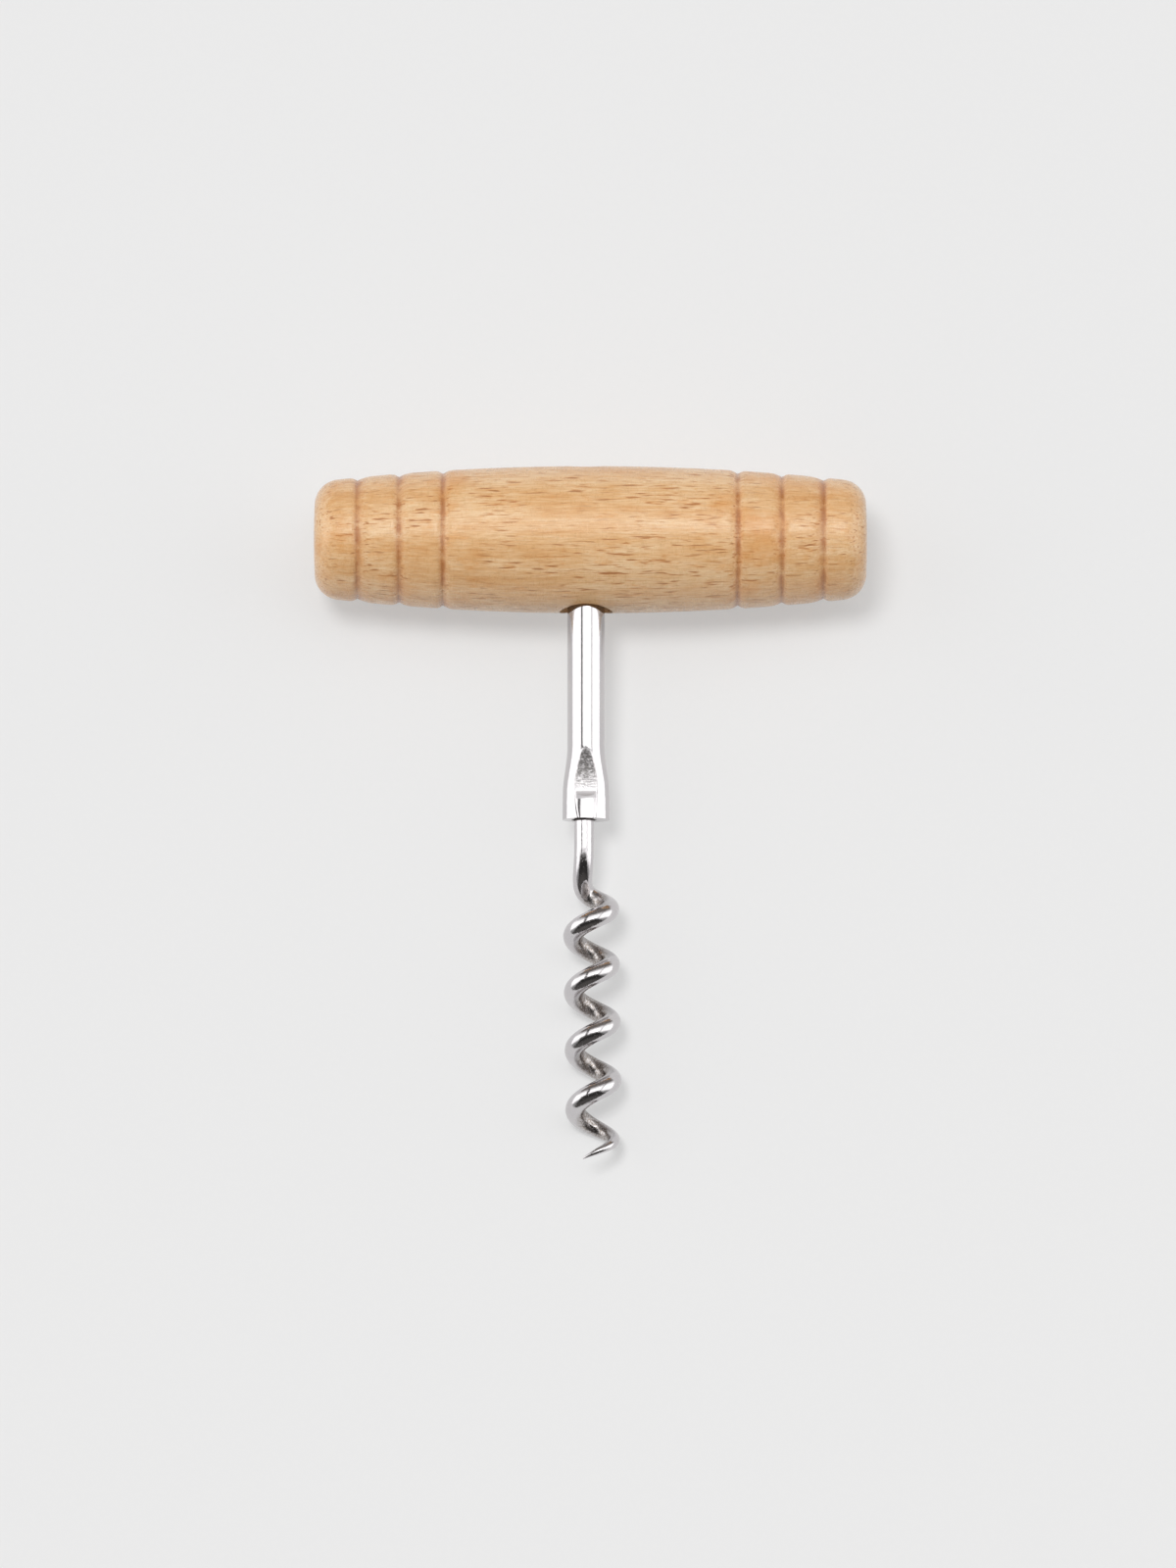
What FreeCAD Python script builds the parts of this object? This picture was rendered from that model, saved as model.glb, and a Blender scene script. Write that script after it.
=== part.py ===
import FreeCAD, Part
import math
import os
import re
import Sketcher
from FreeCAD import Placement, Rotation, Vector

# T handle corkscrew, in millimetres, lying on a table: +Z up, handle along X, worm toward -Y.
# Every piece is drawn in the corkscrew's own plane: x along the handle, -y down the shank from
# the handle's axis, z out of the front. One placement at the end lays all of them on the table.

os.makedirs("parts", exist_ok=True)
doc = FreeCAD.newDocument("corkscrew")

SIZES = [
    # turned hardwood grip
    ("handle_length", 95.0, "grip, end to end"),
    ("handle_diameter", 25.3, "grip at the middle"),
    ("barrel_radius", 407.0, "long curve of the grip's outline"),
    ("end_bead", 7.5, "end of the grip to its outer groove"),
    ("outer_bead", 7.15, "outer groove to middle groove"),
    ("inner_bead", 7.55, "middle groove to inner groove"),
    ("groove_depth", 0.4, "shoulders of each groove, below the barrel curve"),
    ("groove_line", 0.14, "depth of the fine V at the bottom of each groove"),
    ("groove_line_width", 0.6, "width of the fine V"),
    ("inner_shoulder", 1.15, "length of each bead's inner shoulder"),
    ("outer_shoulder", 1.5, "length of the barrel's shoulder at the inner groove"),
    ("shoulder_growth", 0.5, "lengthening of the outer shoulders, groove to groove"),
    ("end_round", 3.9, "rounding of the grip's ends"),
    ("end_dome", 0.17, "rise of the domed end faces"),
    # cross hole in the grip
    ("shank_offset", -0.75, "hole beside the middle of the grip"),
    ("mouth_diameter", 9.1, "dished mouth round the shank"),
    ("mouth_depth", 1.3, "straight part of the mouth, below the barrel"),
    ("hole_rim", 0.2, "softened edges of the hole, top and bottom"),
    ("head_below", 0.6, "peened end of the shank below the top of the grip"),
    ("head_dome", 0.3, "rise of the peened end"),
    ("head_spread", 0.45, "how far the peened end stands out past the shank"),
    # steel shank
    ("shank_diameter", 6.45, "round rod"),
    ("crimp_start", 36.0, "handle axis to where the rod begins to widen"),
    ("crimp_full", 43.8, "handle axis to full width"),
    ("shank_end", 48.6, "handle axis to the end of the rod"),
    ("crimp_width", 7.8, "across the squeezed end, at full width"),
    ("crimp_flare", 0.3, "further widening, full width to the end of the rod"),
    ("crimp_height", 5.9, "through the squeezed end"),
    ("punch_slope", 6.8, "degrees, at which the two punch marks enter the rod"),
    ("punch_lead", 0.03, "height over the rod at which the marks' curve begins"),
    ("punch_run", 0.04, "slope of the marks just above their deepest line"),
    ("punch_low", 43.6, "handle axis to the deepest line of the marks"),
    ("punch_end", 44.9, "handle axis to the lower end of the marks"),
    ("punch_height", 5.24, "across the two marks, at their deepest"),
    ("socket_depth", 17.0, "hole for the wire, up from the rod's end"),
    ("socket_lip", 0.25, "bevel at the mouth of the hole"),
    # worm, one wire
    ("wire_diameter", 3.4, "round wire"),
    ("wire_offset", -1.1, "wire beside the middle of the grip"),
    ("bend_start", 53.5, "handle axis to the start of the bend"),
    ("bend_reach", 17.4, "how slowly the stem leaves its line"),
    ("bend_sweep", 12.0, "how slowly the bend enters the coil"),
    ("bend_turns", 0.2, "part of a turn that the bend takes up before coil_start"),
    ("coil_start", 64.0, "handle axis to the first right-hand side of the coil"),
    ("coil_diameter", 9.7, "over the wire"),
    ("coil_axis", 0.1, "coil axis beside the middle of the grip, at coil_start"),
    ("coil_lean", 0.013, "sideways run of the coil axis per length"),
    ("first_pitch", 9.45, "length of the first turn"),
    ("pitch_growth", 0.13, "lengthening of the turns"),
    ("coil_turns", 4.335, "turns from coil_start to the tip"),
    ("point_turns", 0.735, "turns over which the wire thins to its point"),
    ("point_bluntness", 0.6, "1 is an even cone, less is fuller"),
    ("point_outward", 0.35, "how far the point keeps to the outside of the coil"),
    ("tip_diameter", 0.28, "blunt tip"),
]

sheet = doc.addObject("Spreadsheet::Sheet", "sizes")
for row, (alias, value, note) in enumerate(SIZES, start=1):
    sheet.set(f"A{row}", str(value))
    sheet.setAlias(f"A{row}", alias)
    sheet.set(f"B{row}", note)
doc.recompute()


def size(alias):
    return float(sheet.get(alias))


def new_body(label):
    body = doc.addObject("PartDesign::Body", label)
    body.Label = label
    return body


def new_sketch(body, name, plane, offset=None):
    role = {"front": "XY_Plane", "side": "YZ_Plane", "along": "XZ_Plane"}[plane]
    base = next(f for f in body.Origin.OriginFeatures if f.Role == role)
    drawn = body.newObject("Sketcher::SketchObject", name)
    drawn.AttachmentSupport = (base, [""])
    drawn.MapMode = "FlatFace"
    if offset:
        drawn.AttachmentOffset = offset
    return drawn


def draw_closed(drawn, corners):
    """A closed outline; each corner is a pair of sums over the sheet's names, and stays bound."""
    bound = [[re.sub(r"[a-z_]+", r"sizes.\g<0>", term) for term in pair] for pair in corners]
    points = [Vector(*(float(drawn.evalExpression(term)) for term in pair)) for pair in bound]
    for start, end in zip(points, points[1:] + points[:1]):
        drawn.addGeometry(Part.LineSegment(start, end), False)
    for side, (pair, point) in enumerate(zip(bound, points)):
        before = (side - 1) % len(points)
        drawn.addConstraint(Sketcher.Constraint("Coincident", before, 2, side, 1))
        for kind, term, value in zip(("DistanceX", "DistanceY"), pair, point):
            kept = drawn.addConstraint(Sketcher.Constraint(kind, -1, 1, side, 1, value))
            drawn.setExpression(f"Constraints[{kept}]", term)


def tangent_arc(start, heading, end):
    """The arc that leaves start along heading and reaches end."""
    chord = end - start
    square = Vector(-heading.y, heading.x, 0).normalize()
    radius = chord.dot(chord) / (2 * square.dot(chord))
    centre = start + square * radius
    middle = centre + ((start - centre) + (end - centre)).normalize() * abs(radius)
    return Part.Arc(start, middle, end)


# HANDLE
# One piece of hardwood turned on a lathe: a long barrel, three grooves and three beads toward
# each end, and a cross hole for the shank.
handle = new_body("handle")

grip_radius = size("handle_diameter") / 2
barrel = size("barrel_radius")
half_length = size("handle_length") / 2


def barrel_height(x):
    return grip_radius - barrel + math.sqrt(barrel**2 - x**2)


def half_outline():
    """The grip's outline from its middle to the middle of its right end face."""
    curves = []
    crest = 0.0
    outer = half_length - size("end_bead")
    middle = outer - size("outer_bead")
    inner = middle - size("inner_bead")
    line = size("groove_line")
    half_line = size("groove_line_width") / 2
    for number, groove in enumerate((inner, middle, outer)):
        shoulder = size("outer_shoulder") + number * size("shoulder_growth")
        leave = groove - half_line - shoulder
        land = groove + half_line + size("inner_shoulder")
        floor = barrel_height(groove) - size("groove_depth")
        top = Vector(leave, barrel_height(leave), 0)
        curves.append(
            Part.Arc(
                Vector(crest, barrel_height(crest), 0),
                Vector((crest + leave) / 2, barrel_height((crest + leave) / 2), 0),
                top,
            )
        )
        lip = Vector(groove - half_line, floor, 0)
        root = Vector(groove, floor - line, 0)
        far_lip = Vector(groove + half_line, floor, 0)
        after = Vector(land, barrel_height(land), 0)
        curves.append(tangent_arc(top, Vector(1, -leave / barrel, 0), lip))
        curves.append(Part.LineSegment(lip, root))
        curves.append(Part.LineSegment(root, far_lip))
        curves.append(tangent_arc(after, Vector(-1, land / barrel, 0), far_lip))
        crest = land
    corner = half_length - size("end_dome") - size("end_round")
    corner_top = Vector(corner, barrel_height(corner), 0)
    face_edge = Vector(corner + size("end_round"), corner_top.y - size("end_round"), 0)
    between = (crest + corner) / 2
    curves.append(
        Part.Arc(
            Vector(crest, barrel_height(crest), 0),
            Vector(between, barrel_height(between), 0),
            corner_top,
        )
    )
    curves.append(tangent_arc(corner_top, Vector(1, -corner / barrel, 0), face_edge))
    curves.append(tangent_arc(Vector(half_length, 0, 0), Vector(0, 1, 0), face_edge))
    return curves


outline = new_sketch(handle, "grip_outline", "front")
for curve in half_outline():
    outline.addGeometry(curve, False)
    mirrored = curve.copy()
    mirrored.mirror(Vector(0, 0, 0), Vector(0, 1, 0))
    outline.addGeometry(mirrored, False)
outline.addGeometry(
    Part.LineSegment(Vector(-half_length, 0, 0), Vector(half_length, 0, 0)), False
)
turning = handle.newObject("PartDesign::Revolution", "turned_grip")
turning.Profile = outline
turning.ReferenceAxis = (outline, ["H_Axis"])
turning.Angle = 360

# The cross hole: countersunk at the top for the peened end of the shank, dished below.
shank_x = size("shank_offset")
shank_radius = size("shank_diameter") / 2
bore_profile = new_sketch(handle, "cross_hole_profile", "front")
draw_closed(
    bore_profile,
    [
        ("shank_offset", "handle_diameter"),
        ("shank_offset + shank_diameter / 2 + head_spread", "handle_diameter"),
        (
            "shank_offset + shank_diameter / 2 + head_spread",
            "handle_diameter / 2 - head_below - head_dome",
        ),
        (
            "shank_offset + shank_diameter / 2",
            "handle_diameter / 2 - head_below - head_dome - head_spread",
        ),
        (
            "shank_offset + shank_diameter / 2",
            "mouth_depth - handle_diameter / 2 + (mouth_diameter - shank_diameter) / 2",
        ),
        ("shank_offset + mouth_diameter / 2", "mouth_depth - handle_diameter / 2"),
        ("shank_offset + mouth_diameter / 2", "-handle_diameter"),
        ("shank_offset", "-handle_diameter"),
    ],
)
cross_hole = handle.newObject("PartDesign::Groove", "cross_hole")
cross_hole.Profile = bore_profile
cross_hole.Angle = 360
hole_line = Part.LineSegment(Vector(shank_x, 0, 0), Vector(shank_x, grip_radius, 0))
bore_profile.addGeometry(hole_line, True)
cross_hole.ReferenceAxis = (bore_profile, ["Axis0"])

doc.recompute()
hole_rims = []
for wall in handle.Shape.Faces:
    if isinstance(wall.Surface, Part.Cylinder) and abs(wall.Surface.Axis.y) > 0.9:
        if wall.Surface.Radius > shank_radius + size("hole_rim"):
            hole_rims.append(max(wall.Edges, key=lambda edge: edge.Length))
rim_names = [
    f"Edge{number}"
    for number, edge in enumerate(handle.Shape.Edges, start=1)
    if any(edge.isSame(rim) for rim in hole_rims)
]
softened = handle.newObject("PartDesign::Fillet", "softened_rims")
softened.Base = (cross_hole, rim_names)
softened.setExpression("Radius", "sizes.hole_rim")

# SHANK
# A plated steel rod driven through the grip. Its top is peened out into the countersink; its
# lower end is drilled for the wire and squeezed between punches so that it spreads sideways.
shank = new_body("shank")
wire_radius = size("wire_diameter") / 2
wire_x = size("wire_offset")
rod_profile = new_sketch(shank, "rod_profile", "front")
spread = size("head_spread")
axis_top = Vector(shank_x, grip_radius - size("head_below"), 0)
head_edge = axis_top + Vector(shank_radius + spread, -size("head_dome"), 0)
neck = head_edge - Vector(spread, spread, 0)
rod_low = Vector(shank_x + shank_radius, -size("crimp_start"), 0)
rod_axis = Vector(shank_x, -size("crimp_start"), 0)
rod_profile.addGeometry(tangent_arc(axis_top, Vector(1, 0, 0), head_edge), False)
outline_corners = [head_edge, neck, rod_low, rod_axis, axis_top]
for start, end in zip(outline_corners, outline_corners[1:]):
    rod_profile.addGeometry(Part.LineSegment(start, end), False)
rod_profile.addGeometry(Part.LineSegment(rod_axis, axis_top), True)
rod = shank.newObject("PartDesign::Revolution", "headed_rod")
rod.Profile = rod_profile
rod.ReferenceAxis = (rod_profile, ["Axis0"])
rod.Angle = 360


def oval_sketch(name, depth, half_width, half_height):
    level = new_sketch(
        shank, name, "along", Placement(Vector(shank_x, 0, depth), Rotation())
    )
    if half_width > half_height + 1e-6:
        shape = Part.Ellipse(Vector(0, 0, 0), half_width, half_height)
    else:
        shape = Part.Circle(Vector(0, 0, 0), Vector(0, 0, 1), half_width)
    level.addGeometry(shape, False)
    return level


def ease(share):
    return share * share * (3 - 2 * share)


levels = []
begin = size("crimp_start")
full = size("crimp_full")
end = size("shank_end")
for step in range(12):
    depth = begin + (end - begin) * step / 11
    share = ease(min(1.0, (depth - begin) / (full - begin)))
    wide = shank_radius + (size("crimp_width") / 2 - shank_radius) * share
    flared = size("crimp_flare") / 2 * ease((depth - begin) / (end - begin))
    high = shank_radius + (size("crimp_height") / 2 - shank_radius) * share
    levels.append(oval_sketch(f"spread_{step}", depth, wide + flared, high))
spreading = shank.newObject("PartDesign::AdditiveLoft", "squeezed_end")
spreading.Profile = levels[0]
spreading.Sections = levels[1:]
spreading.Ruled = False

# Two punches mark the front and the back: each mark runs down into the rod at a shallow slope,
# and out again just below its deepest line.
punch_marks = new_sketch(shank, "punch_marks", "side")
low = size("punch_low")
out = size("punch_end")
oval_height = size("crimp_height") / 2
mark_height = size("punch_height") / 2
above = size("crimp_width")
third = (low - begin) / 3
for face in (1, -1):
    top = Vector(-begin, face * (shank_radius + size("punch_lead")), 0)
    steep = top - Vector(third, face * third * math.tan(math.radians(size("punch_slope"))), 0)
    deepest = Vector(-low, face * mark_height, 0)
    shallow = deepest + Vector(third, face * third * size("punch_run"), 0)
    turned_up = Vector(-(low + out) / 2, face * mark_height, 0)
    bottom = Vector(-out, face * oval_height, 0)
    for poles in ([top, steep, shallow, deepest], [deepest, turned_up, bottom]):
        mark = Part.BezierCurve()
        mark.setPoles(poles)
        punch_marks.addGeometry(mark.toBSpline(), False)
    corners = [bottom, Vector(-out, face * above, 0), Vector(-begin, face * above, 0), top]
    for start, finish in zip(corners, corners[1:]):
        punch_marks.addGeometry(Part.LineSegment(start, finish), False)
marks = shank.newObject("PartDesign::Pocket", "punched_marks")
marks.Profile = punch_marks
marks.Midplane = True
marks.setExpression("Length", "2 * sizes.crimp_width")

# The hole for the wire, with a small bevel at its mouth.
hole_end = -size("shank_end")
socket_profile = new_sketch(shank, "socket_profile", "front")
draw_closed(
    socket_profile,
    [
        ("wire_offset", "-shank_end - 1"),
        ("wire_offset", "-shank_end + socket_depth"),
        ("wire_offset + wire_diameter / 2", "-shank_end + socket_depth"),
        ("wire_offset + wire_diameter / 2", "-shank_end + socket_lip"),
        ("wire_offset + wire_diameter / 2 + socket_lip", "-shank_end"),
        ("wire_offset + wire_diameter / 2 + socket_lip", "-shank_end - 1"),
    ],
)
wire_line = Part.LineSegment(Vector(wire_x, hole_end, 0), Vector(wire_x, 0, 0))
socket_profile.addGeometry(wire_line, True)
socket = shank.newObject("PartDesign::Groove", "wire_socket")
socket.Profile = socket_profile
socket.ReferenceAxis = (socket_profile, ["Axis0"])
socket.Angle = 360

# WORM
# One plated steel wire: a straight stem held in the shank, a bend out to the coil's radius, a
# right-hand coil, and a point ground over the last part of a turn.
coil_radius = (size("coil_diameter") - size("wire_diameter")) / 2
point_begin = size("coil_turns") - size("point_turns")


def wire_radius_at(turn):
    share = max(0.0, (turn - point_begin) / size("point_turns"))
    thinned = wire_radius * max(0.0, 1 - share) ** size("point_bluntness")
    return max(thinned, size("tip_diameter") / 2)


def coil_centre(turn):
    along = size("first_pitch") * turn + size("pitch_growth") * turn**2
    outward = size("point_outward") * (wire_radius - wire_radius_at(turn))
    sideways = size("coil_axis") + size("coil_lean") * along
    reach = coil_radius + outward
    angle = 2 * math.pi * turn
    return Vector(
        sideways + reach * math.cos(angle),
        -size("coil_start") - along,
        reach * math.sin(angle),
    )


def coil_heading(turn):
    nudge = 1e-4
    return (coil_centre(turn + nudge) - coil_centre(turn - nudge)).normalize()


stem_top = Vector(wire_x, hole_end + size("socket_depth"), 0)
stem_end = Vector(wire_x, -size("bend_start"), 0)
coil_in = -size("bend_turns")
bend = Part.BezierCurve()
bend.setPoles(
    [
        stem_end,
        stem_end + Vector(0, -size("bend_reach") / 3, 0),
        coil_centre(coil_in) - coil_heading(coil_in) * (size("bend_sweep") / 3),
        coil_centre(coil_in),
    ]
)

down = Vector(0, -1, 0)
stations = []
for k in range(9):
    stations.append((stem_top + (stem_end - stem_top) * (k / 9), down, wire_radius))
for k in range(8):
    heading = Vector(*bend.tangent(k / 8)[0]) if k else down
    stations.append((bend.value(k / 8), heading, wire_radius))
coil_steps = round((size("coil_turns") - coil_in) * 14)
for k in range(coil_steps + 1):
    turn = coil_in + (size("coil_turns") - coil_in) * k / coil_steps
    stations.append((coil_centre(turn), coil_heading(turn), wire_radius_at(turn)))

# A skin over one true circle at each station, carried along the wire without twisting.
ring_weights = [1.0, math.sqrt(0.5)] * 4 + [1.0]
rows = [[] for _ in ring_weights]
travelled = [0.0]
facing = Rotation(Vector(0, 0, 1), down)
before = down
for k, (centre, heading, radius) in enumerate(stations):
    facing = Rotation(before, heading).multiply(facing)
    before = heading
    if k:
        travelled.append(travelled[-1] + (centre - stations[k - 1][0]).Length)
    for corner, weight in enumerate(ring_weights):
        turned = math.radians(45 * (corner % 8))
        spoke = Vector(math.cos(turned), math.sin(turned), 0) * (radius / weight)
        rows[corner].append(centre + facing.multVec(spoke))

lines = []
for row in rows:
    line = Part.BSplineCurve()
    line.interpolate(Points=row, Parameters=travelled)
    lines.append(line)
skin = Part.BSplineSurface()
skin.buildFromPolesMultsKnots(
    [list(along) for along in zip(*(line.getPoles() for line in lines))],
    lines[0].getMultiplicities(),
    [3, 2, 2, 2, 3],
    lines[0].getKnots(),
    [0, 0.25, 0.5, 0.75, 1],
    False,
    False,
    lines[0].Degree,
    2,
    [ring_weights for _ in lines[0].getPoles()],
)
side = skin.toShape()
rims = [edge for edge in side.Edges if edge.isClosed()]
caps = [Part.Face(Part.Wire([rim])) for rim in rims]
shell = Part.makeShell([side] + caps)
shell.sewShape()
solid = Part.makeSolid(shell)
if solid.Volume < 0:
    solid.reverse()
worm = doc.addObject("Part::Feature", "worm")
worm.Label = "worm"
worm.Shape = solid

doc.recompute()

# LAID ON THE TABLE
# The corkscrew rests on the belly of its grip and on the lowest turn of its worm, so the shank
# dips from grip to worm. Every piece takes the one placement.
pieces = [handle, shank, worm]


def laid(dip):
    return Placement(Vector(0, 0, 0), Rotation(Vector(1, 0, 0), dip))


def lowest(body, dip):
    turned = body.Shape.copy()
    turned.Placement = laid(dip)
    return turned.optimalBoundingBox(False).ZMin


dip_low = 0.0
dip_high = 10.0
for _ in range(14):
    dip = (dip_low + dip_high) / 2
    if lowest(worm, dip) > -grip_radius:
        dip_low = dip
    else:
        dip_high = dip
resting = laid(dip)
together = Part.makeCompound([body.Shape for body in pieces])
together.Placement = resting
box = together.optimalBoundingBox(False)
resting.Base = Vector(-box.Center.x, -box.Center.y, -box.ZMin)
for body in pieces:
    body.Placement = resting
doc.recompute()

for item in doc.Objects:
    if "Invalid" in item.State or "Error" in item.State:
        raise SystemExit(f"{item.Name}: {item.State}")
for body in pieces:
    if body.Shape.isNull() or not body.Shape.isValid() or len(body.Shape.Solids) != 1:
        raise SystemExit(f"{body.Label}: not one sound solid")
    body.Shape.exportStep(f"parts/{body.Label}.step")
    print(f"{body.Label}: {body.Shape.Volume:.1f} mm3")
print(f"dip {dip:.2f} degrees, laid at {resting.Base}, box {box}")
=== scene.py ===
import math
import bpy
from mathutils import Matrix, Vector


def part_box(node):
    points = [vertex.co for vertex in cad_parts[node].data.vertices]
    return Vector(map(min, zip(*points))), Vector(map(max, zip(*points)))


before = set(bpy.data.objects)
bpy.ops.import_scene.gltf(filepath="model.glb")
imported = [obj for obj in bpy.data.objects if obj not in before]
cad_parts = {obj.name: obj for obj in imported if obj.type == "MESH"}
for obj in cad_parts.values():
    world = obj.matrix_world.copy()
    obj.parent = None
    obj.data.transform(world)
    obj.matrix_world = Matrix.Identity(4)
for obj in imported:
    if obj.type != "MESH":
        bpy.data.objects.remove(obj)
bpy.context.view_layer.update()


# The handle: one length of pale hardwood, turned on a lathe to a long barrel with three beads
# toward each end, sanded, stained a little darker where the finish gathers in the grooves, and
# sealed with a satin lacquer. The grooves' darker colour is partly that stain and partly painted
# shade.
class Sock:
    """A socket of one material, on which sums build Math nodes."""

    def __init__(self, tree, out):
        self.tree = tree
        self.out = out

    def math(self, operation, *others, clamp=False):
        made = self.tree.nodes.new("ShaderNodeMath")
        made.operation = operation
        made.use_clamp = clamp
        for place, value in enumerate((self, *others)):
            if isinstance(value, Sock):
                self.tree.links.new(value.out, made.inputs[place])
            else:
                made.inputs[place].default_value = value
        return Sock(self.tree, made.outputs[0])

    def swapped(self, operation, first):
        made = self.tree.nodes.new("ShaderNodeMath")
        made.operation = operation
        made.inputs[0].default_value = first
        self.tree.links.new(self.out, made.inputs[1])
        return Sock(self.tree, made.outputs[0])

    def __add__(self, other):
        return self.math("ADD", other)

    def __sub__(self, other):
        return self.math("SUBTRACT", other)

    def __mul__(self, other):
        return self.math("MULTIPLY", other)

    def __truediv__(self, other):
        return self.math("DIVIDE", other)

    def __pow__(self, other):
        return self.math("POWER", other)

    __radd__ = __add__
    __rmul__ = __mul__

    def __rsub__(self, other):
        return self.swapped("SUBTRACT", other)

    def clamp(self):
        return self.math("ADD", 0.0, clamp=True)

    def rise(self, low, high):
        """0 below low, 1 above high, smooth between; falls instead if high is below low."""
        share = ((self - low) / (high - low)).clamp()
        return share * share * (3.0 - share * 2.0)


class Finish:
    """The nodes of a new material or world, and the one method that adds them."""

    def __init__(self, owner):
        self.owner = owner
        owner.use_nodes = True
        self.tree = owner.node_tree
        self.tree.nodes.clear()

    def node(self, kind, settings=None, output=0, **sockets):
        made = self.tree.nodes.new(kind)
        for name, value in (settings or {}).items():
            if name == "stops":
                for place, colour in value:
                    stop = made.color_ramp.elements.new(place)
                    stop.color = (*colour, 1.0)
                made.color_ramp.elements.remove(made.color_ramp.elements[0])
                made.color_ramp.elements.remove(made.color_ramp.elements[-1])
            else:
                setattr(made, name, value)
        for name, value in sockets.items():
            wanted = name.replace("_", " ")
            place = next(s for s in made.inputs if s.name == wanted and s.enabled)
            if isinstance(value, Sock):
                self.tree.links.new(value.out, place)
            elif isinstance(value, tuple) and len(value) == 3 and place.type == "RGBA":
                place.default_value = (*value, 1.0)
            else:
                place.default_value = value
        return Sock(self.tree, made.outputs[output]) if made.outputs else None

    def axes(self, place):
        split = self.tree.nodes.new("ShaderNodeSeparateXYZ")
        self.tree.links.new(place.out, split.inputs[0])
        return [Sock(self.tree, out) for out in split.outputs]

    def vector(self, x, y, z):
        return self.node("ShaderNodeCombineXYZ", X=x, Y=y, Z=z)

    def noise(self, place, scale, detail=2.0, roughness=0.5, distortion=0.0):
        return self.node(
            "ShaderNodeTexNoise",
            Vector=place,
            Scale=scale,
            Detail=detail,
            Roughness=roughness,
            Distortion=distortion,
        )

    def mix(self, share, one, other):
        return self.node(
            "ShaderNodeMix", {"data_type": "RGBA"}, output=2, Factor=share, A=one, B=other
        )

    def bump(self, height, strength, distance, **under):
        return self.node(
            "ShaderNodeBump", Height=height, Strength=strength, Distance=distance, **under
        )

    def surface(self, **sockets):
        shader = self.node("ShaderNodeBsdfPrincipled", **sockets)
        self.node("ShaderNodeOutputMaterial", Surface=shader)


def srgb(red, green, blue):
    """A colour as a picture shows it, 0 to 255, as Blender's linear colour."""
    return tuple(
        c / 255 / 12.92 if c <= 10 else ((c / 255 + 0.055) / 1.055) ** 2.4
        for c in (red, green, blue)
    )


low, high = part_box("handle")
grip_radius = (high.z - low.z) / 2
grip_axis_y = low.y + grip_radius
grip_axis_z = low.z + grip_radius
barrel_curve = 0.407  # radius of the barrel's outline
beads_from, beads_to = 0.0215, 0.0430  # from the middle of the handle

wood = Finish(bpy.data.materials.new("lacquered_hardwood"))
place = wood.node("ShaderNodeTexCoord", output=3)
x, y, z = wood.axes(place)
across = y - grip_axis_y
upward = z - grip_axis_z
reach = (across * across + upward * upward) ** 0.5
sunk = grip_radius - x * x / (2 * barrel_curve) - reach
sideways = x.math("ABSOLUTE")
beads = sideways.rise(beads_from - 0.001, beads_from + 0.001)
beads = beads * (1.0 - sideways.rise(beads_to - 0.0005, beads_to + 0.0005))
# darker in the grooves: partly stain gathered there, partly painted shade in the recess
groove_stain_and_shade = sunk.rise(0.00002, 0.00052) * beads
groove_core_stain_and_shade = sunk.rise(0.00022, 0.00050) * beads
# the dish round the mouth of the shank's hole is painted a lighter, even tone: painted light
# against the shade in the dish
mouth_painted_light = sunk.rise(0.0002, 0.0012) * (1.0 - sideways.rise(0.006, 0.008))

# growth rings of a tree whose heart lies outside the piece, the patches where it took the stain
# more, and the open pores, cut lengthwise, that the stain has filled
sway = wood.noise(wood.vector(x * 14.0, y * 90.0, z * 90.0), 1.0, 3.0)
heart = ((y + 0.045) * (y + 0.045) + (z + 0.02) * (z + 0.02)) ** 0.5
rings = (heart * 1300.0 + sway * 9.0 + x * 30.0).math("SINE") * 0.5 + 0.5
clouds = wood.noise(wood.vector(x * 45.0, y * 110.0, z * 110.0), 1.0, 4.0, 0.6)
dapple = wood.noise(wood.vector(x * 190.0, y * 480.0, z * 480.0), 1.0, 5.0, 0.72)
streaks = wood.noise(wood.vector(x * 90.0, y * 2100.0, z * 2100.0), 1.0, 4.0, 0.72)
fibres = wood.noise(wood.vector(x * 380.0, y * 5200.0, z * 5200.0), 1.0, 2.0, 0.6)
wave = wood.noise(wood.vector(x * 260.0, y * 300.0, z * 300.0), 1.0, 2.0)
dashes = wood.noise(
    wood.vector(x * 260.0, (y + wave * 0.0003) * 2500.0, z * 2500.0), 1.0, 1.5, 0.5
)
dash = dashes.rise(0.56, 0.66) * (0.20 + clouds.rise(0.40, 0.58) * 0.80)
dash_core = dashes.rise(0.63, 0.72) * clouds.rise(0.34, 0.52)

tone = (clouds * 0.90 + dapple * 0.75 + streaks * 1.00 + rings * 0.08 - 0.83).clamp()
body = wood.node(
    "ShaderNodeValToRGB",
    {
        "stops": [
            (0.10, srgb(208, 148, 89)),
            (0.42, srgb(224, 178, 126)),
            (0.80, srgb(237, 205, 163)),
        ]
    },
    Fac=tone,
)
body = wood.mix(dapple.rise(0.54, 0.70) * 0.50, body, srgb(218, 150, 76))
body = wood.mix((fibres - 0.42).clamp() * 1.3, body, srgb(184, 122, 64))
body = wood.mix(dash * 0.66, body, srgb(188, 118, 54))
body = wood.mix(dash_core * 0.50, body, srgb(140, 80, 34))
taken = wood.noise(wood.vector(x * 240.0, y * 260.0, z * 260.0), 1.0, 4.0, 0.65)
taken = taken.rise(0.36, 0.62)
blotch = wood.noise(wood.vector(x * 130.0, y * 150.0, z * 150.0), 1.0, 3.0, 0.6)
blotch = blotch.rise(0.48, 0.66)
round_beads = sideways.rise(beads_from - 0.005, beads_from + 0.001)
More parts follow.
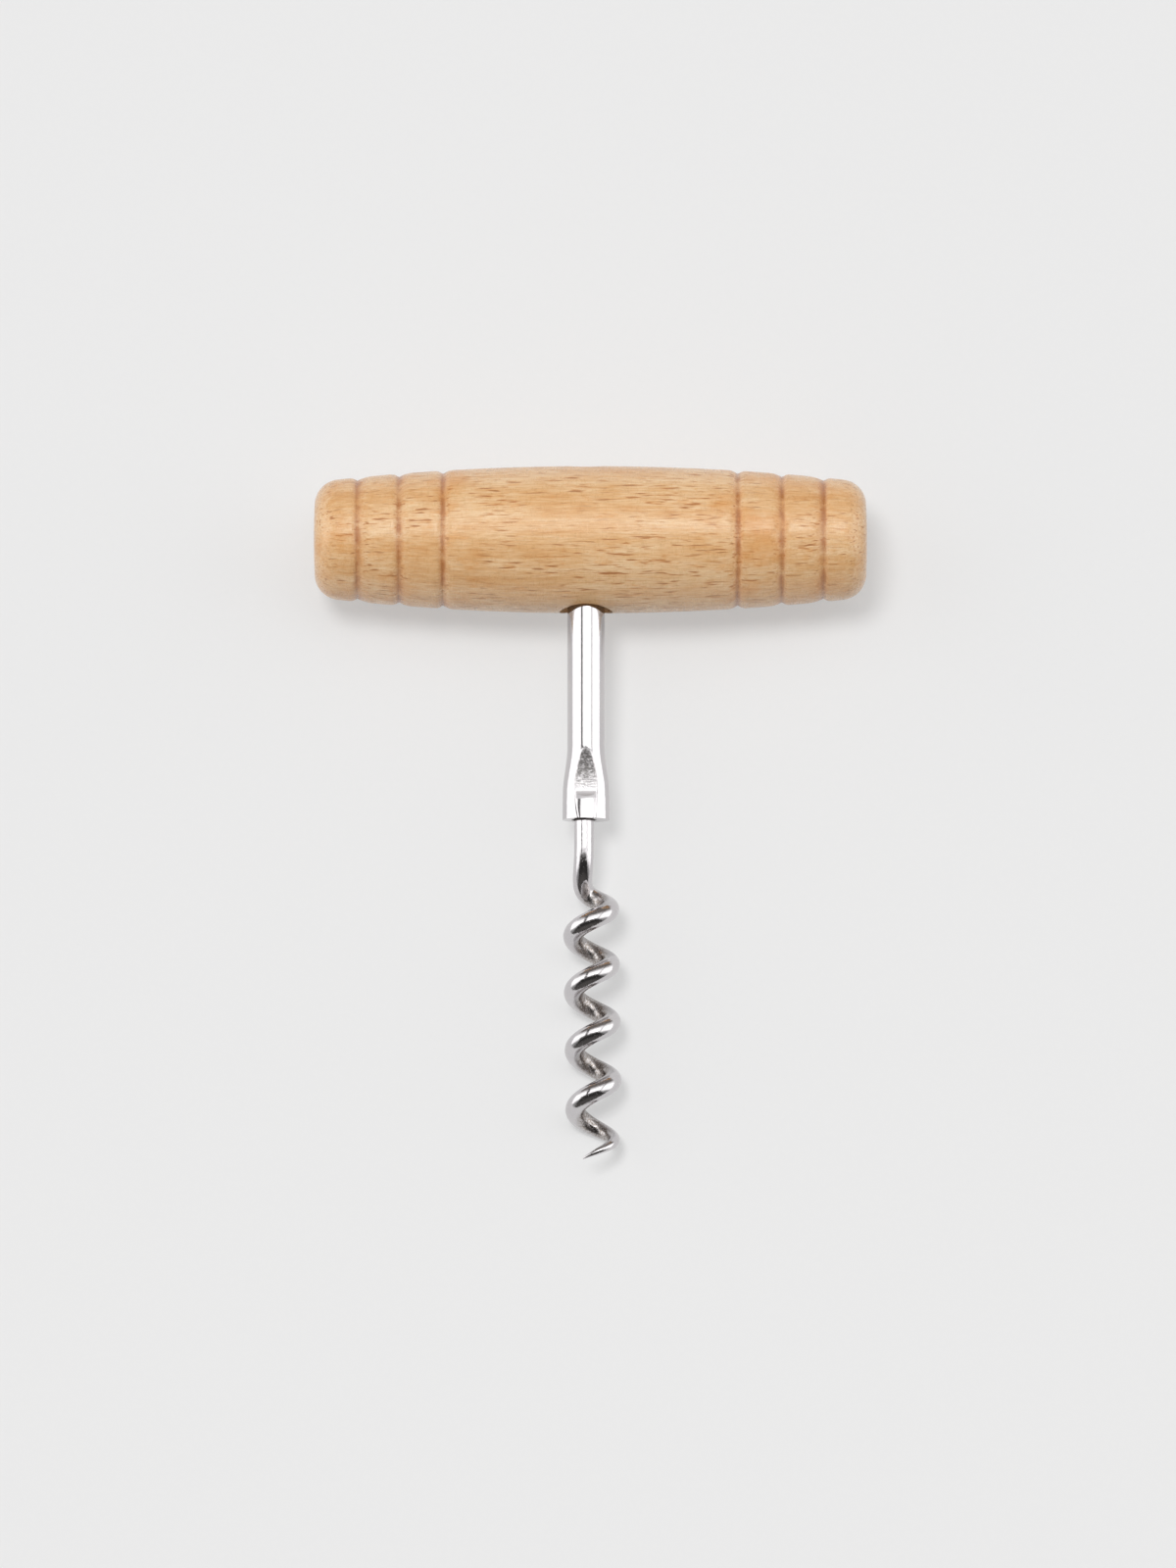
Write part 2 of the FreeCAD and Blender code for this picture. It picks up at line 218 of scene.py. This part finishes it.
round_beads = round_beads * (1.0 - sideways.rise(beads_to - 0.0005, beads_to + 0.003))
body = wood.mix(blotch * round_beads * 0.42, body, srgb(212, 142, 66))
# partly stain, partly painted shade in the grooves
body = wood.mix(groove_stain_and_shade * (0.12 + taken * 0.46), body, srgb(196, 124, 60))
body = wood.mix(groove_core_stain_and_shade * (0.16 + taken * 0.46), body, srgb(160, 96, 46))
# painted light in the dish round the shank's hole
body = wood.mix(mouth_painted_light * 0.45, body, srgb(216, 178, 132))

# the skin: ripples of the tool round the handle, and the fibres under the lacquer
ripple = wood.noise(wood.vector(x * 1600.0, y * 620.0, z * 620.0), 1.0, 4.0, 0.65)
skin = wood.noise(wood.vector(x * 600.0, y * 1500.0, z * 1500.0), 1.0, 3.0, 0.6)
relief = wood.bump(
    ripple * 1.5 + skin * 1.0 + fibres * 0.4 - dash * 0.3 - dash_core * 0.3, 0.55, 0.00008
)
wood.surface(
    Base_Color=body,
    Roughness=(0.24 + ripple.rise(0.35, 0.65) * 0.20 + dash * 0.12),
    Normal=relief,
    Coat_Weight=0.45,
    Coat_Roughness=0.18,
    IOR=1.52,
)

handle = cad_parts["handle"]
handle.data.materials.clear()
handle.data.materials.append(wood.owner)


# The shank and the worm: a steel rod, peened over at the top of the handle and squeezed at its
# lower end on a wire that is coiled and ground to a point. Both are bright nickel plated, and the
# rod's draw lines still show faintly in the plating.
nickel = Finish(bpy.data.materials.new("bright_nickel_plate"))
place = nickel.node("ShaderNodeTexCoord", output=3)
x, y, z = nickel.axes(place)
dip = math.radians(4.51)
shank_axis_x = -0.00075
wire_axis_x = -0.0011
coil_axis_x = 0.0001
mark_top, mark_out, shank_end = 0.0360, 0.0446, 0.0485  # down from the handle
down = (grip_axis_y - y) * math.cos(dip) + (grip_axis_z - z) * math.sin(dip)
beside = (x - shank_axis_x).math("ABSOLUTE")
front = (grip_axis_y - y) * math.sin(dip) + (z - grip_axis_z) * math.cos(dip)
haze = nickel.noise(place, 260.0, 3.0, 0.6)
draw = nickel.noise(nickel.vector(x * 9000.0, y * 300.0, z * 9000.0), 1.0, 2.0)
pits = nickel.noise(place, 2600.0, 3.0, 0.65)
grain = nickel.noise(place, 3200.0, 3.0, 0.7)

# the punch left its own rough grain and drag lines in the mark, and an edge on either side; the
# top of the mark is painted darker and mottled, fading downwards, partly the punch's dull grain
# and partly painted shade
mark = down.rise(mark_top, mark_top + 0.0012) * (1.0 - down.rise(0.0425, 0.0447))
half_width = ((down - mark_top).math("MAXIMUM", 0.0) * 0.00077) ** 0.5
mark = mark * (1.0 - (beside - half_width).rise(-0.0004, 0.0))
mottle = nickel.noise(place, 1500.0, 4.0, 0.8)
mark_dull_and_painted_shade = mark * (1.0 - down.rise(0.0400, 0.0447)) * (0.20 + mottle.rise(0.40, 0.58) * 0.80)
drag = nickel.noise(nickel.vector(x * 2600.0, y * 90.0, 0.0), 1.0, 2.0)
sunk_by = (down - 0.0375).math("MAXIMUM", 0.0).math("MINIMUM", 0.0067)
turn_up = 1.0 - (down - mark_out).math("ABSOLUTE").rise(0.0004, 0.0009)
turn_up = turn_up * (1.0 - beside.rise(0.0016, 0.0019))
along_edge = down - 0.0438
edge_at = 0.00185 - along_edge * along_edge * 22.0
edge = 1.0 - (beside - edge_at).math("ABSOLUTE").rise(0.0, 0.00022)
edge = edge * down.rise(0.0385, 0.0415) * (1.0 - down.rise(shank_end - 0.0001, shank_end + 0.0002))

# inside the coil, worn by the mandrel, the plating is thin, dull and grainy; its darker
# brown-grey, in grainy flecks, is painted shade and painted reflection of the strands round it
off_axis = x - coil_axis_x - (down - 0.064) * 0.013
from_axis = (off_axis * off_axis + front * front) ** 0.5
rubbed_and_painted_shade = (1.0 - from_axis.rise(0.0021, 0.0034)) * down.rise(0.0600, 0.0630)

# painted shade round the wire where it leaves the hole in the rod's end: a dark, dull band
off_wire = x - wire_axis_x
from_wire = (off_wire * off_wire + front * front) ** 0.5
hole_painted_shade = down.rise(shank_end - 0.0003, shank_end)
hole_painted_shade = hole_painted_shade * (1.0 - (down + haze * 0.0003).rise(shank_end + 0.0004, shank_end + 0.0006))
hole_painted_shade = hole_painted_shade * (1.0 - from_wire.rise(0.0020, 0.0023))
plate = nickel.mix(haze, srgb(201, 198, 201), srgb(215, 212, 212))
# painted shade and painted reflection inside the coil, in grainy flecks
plate = nickel.mix(rubbed_and_painted_shade * (0.25 + grain.rise(0.42, 0.58) * 0.6), plate, srgb(128, 117, 106))
# painted shade, over the punch's dull grain, at the top of the mark
plate = nickel.mix(mark_dull_and_painted_shade * 0.80, plate, srgb(104, 101, 97))
speck = pits.rise(0.56, 0.66) * down.rise(0.0500, 0.0560)
shape = nickel.bump(sunk_by * sunk_by * sunk_by * 400.0, 1.0, 1.0)
nickel.surface(
    # the dark band at the hole is painted shade
    Base_Color=nickel.mix(hole_painted_shade * 0.92, plate, srgb(56, 47, 43)),
    Metallic=1.0,
    Roughness=(
        0.06
        + haze * 0.07
        + mark * 0.05
        + turn_up * 0.45
        + speck * 0.22
        + rubbed_and_painted_shade * 0.12
        + hole_painted_shade * 0.3
    ),
    Normal=nickel.bump(
        draw * 0.2
        + pits * (0.6 + down.rise(0.050, 0.056) * 0.9)
        + mark * (grain * 6.0 + drag * 4.0)
        + rubbed_and_painted_shade * grain * 6.0
        - edge * 3.0,
        0.22,
        0.00003,
        Normal=shape,
    ),
)
for name in ("shank", "worm"):
    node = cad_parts[name]
    node.data.materials.clear()
    node.data.materials.append(nickel.owner)


# The table under it: a pale sheet of paper, laid flat. The viewer and the metal see half of it as
# evenly bright, as if it were lit from below too, so that the shadow on it stays faint.
paper = Finish(bpy.data.materials.new("pale_paper"))
place = paper.node("ShaderNodeTexCoord", output=3)
sheet = paper.mix(paper.noise(place, 900.0, 2.0), srgb(226, 226, 226), srgb(229, 229, 229))
lit_above = paper.node("ShaderNodeBsdfDiffuse", Color=sheet)
lit_below = paper.node("ShaderNodeEmission", Color=srgb(234, 234, 234), Strength=1.0)
seen = paper.node("ShaderNodeLightPath", output=0)
mirrored = paper.node("ShaderNodeLightPath", output=3)
share = seen.math("MAXIMUM", mirrored) * 0.52
both = paper.node("ShaderNodeMixShader", Fac=share)
paper.tree.links.new(lit_above.out, both.out.node.inputs[1])
paper.tree.links.new(lit_below.out, both.out.node.inputs[2])
paper.node("ShaderNodeOutputMaterial", Surface=both)
half = 3.0
table_mesh = bpy.data.meshes.new("table")
table_mesh.from_pydata(
    [(-half, -half, 0), (half, -half, 0), (half, half, 0), (-half, half, 0)],
    [],
    [(0, 1, 2, 3)],
)
table = bpy.data.objects.new("table", table_mesh)
table_mesh.materials.append(paper.owner)
bpy.context.collection.objects.link(table)


# The light: one long white diffuser overhead, reaching from the zenith back past the handle, with
# a brighter patch at its lamp and two seams along it, a dim wall behind, and the dark room on the
# near side. Two soft suns, left out of the reflections, give the shadow.
sky = Finish(bpy.data.worlds.new("studio"))
bpy.context.scene.world = sky.owner
place = sky.node("ShaderNodeTexCoord", output=0)
x, y, z = sky.axes(place)
near = 0.0 - y
room = near.rise(-0.05, 0.17) * (1.0 - (x - near * 0.8).rise(0.25, 0.5)) * x.rise(-0.85, -0.65)
wall = y.rise(0.55, 0.75)
wall_colour = (0.20, 0.18, 0.165)
seam_left = 1.0 - (x + 0.43).math("ABSOLUTE").rise(0.045, 0.105)
seam_right = 1.0 - (x - 0.57).math("ABSOLUTE").rise(0.02, 0.07)
diffuser = (1.0 - room) * (1.0 - near.rise(0.1, 0.45) * 0.8) * (1.0 - seam_left * 0.97)
diffuser = diffuser * (1.0 - seam_right * 0.6) * (1.0 - y.rise(0.30, 0.62) * 0.6)
shade = sky.mix(near.rise(0.12, 0.40), (0.11, 0.106, 0.102), (0.034, 0.033, 0.032))
shade = sky.mix(near.rise(0.50, 0.85), shade, (0.095, 0.09, 0.086))
dim = sky.mix(wall, shade, wall_colour)
lamp = x.rise(-0.06, 0.08) * (1.0 - x.rise(0.34, 0.44)) * y.rise(0.03, 0.08)
lamp = lamp * (1.0 - y.rise(0.26, 0.32))
panel = sky.mix(lamp, (1.75, 1.75, 1.75), (3.7, 3.7, 3.7))
white = sky.mix(wall, panel, wall_colour)
scattered = sky.node("ShaderNodeLightPath", output=2)
glow = sky.node(
    "ShaderNodeBackground",
    Color=sky.mix(diffuser, dim, white),
    Strength=1.0 - scattered * 0.36,
)
sky.node("ShaderNodeOutputWorld", Surface=glow)

sun = bpy.data.lights.new("key", "SUN")
sun.energy = 1.67
sun.angle = math.radians(18)
key = bpy.data.objects.new("key", sun)
key.visible_glossy = False
key.rotation_euler = Vector((0.19, -0.10, -1.0)).to_track_quat("-Z", "Y").to_euler()
bpy.context.collection.objects.link(key)
bounce = bpy.data.lights.new("fill", "SUN")
bounce.energy = 0.33
bounce.angle = math.radians(70)
fill = bpy.data.objects.new("fill", bounce)
fill.visible_glossy = False
fill.rotation_euler = Vector((0.65, 0.75, -0.45)).to_track_quat("-Z", "Y").to_euler()
bpy.context.collection.objects.link(fill)


# The camera: over the corkscrew, 13 degrees from upright toward the tip of the worm, and far
# enough away that both ends of the handle look alike.
lean = math.radians(8.2)  # from square on to the shank
frame_height = 1600 / 5.954e3  # the photograph's height, at 5.954 pixels a millimetre
frame_centre = 0.0424  # from the handle's axis, down the shank
frame_left = 0.00042
down_shank = Vector((0, -math.cos(dip), -math.sin(dip)))
grip_centre = Vector((0, grip_axis_y, grip_axis_z))
aim = grip_centre + down_shank * frame_centre + Vector((-frame_left, 0, 0))
away = Vector((0, -math.sin(dip + lean), math.cos(dip + lean)))
distance = 3.0
lens = bpy.data.cameras.new("camera")
lens.sensor_width = 36
lens.lens = lens.sensor_width * distance / frame_height
camera = bpy.data.objects.new("camera", lens)
camera.location = aim + away * distance
camera.rotation_euler = (-away).to_track_quat("-Z", "Y").to_euler()
bpy.context.collection.objects.link(camera)
bpy.context.scene.camera = camera
bpy.context.scene.view_settings.view_transform = "Standard"
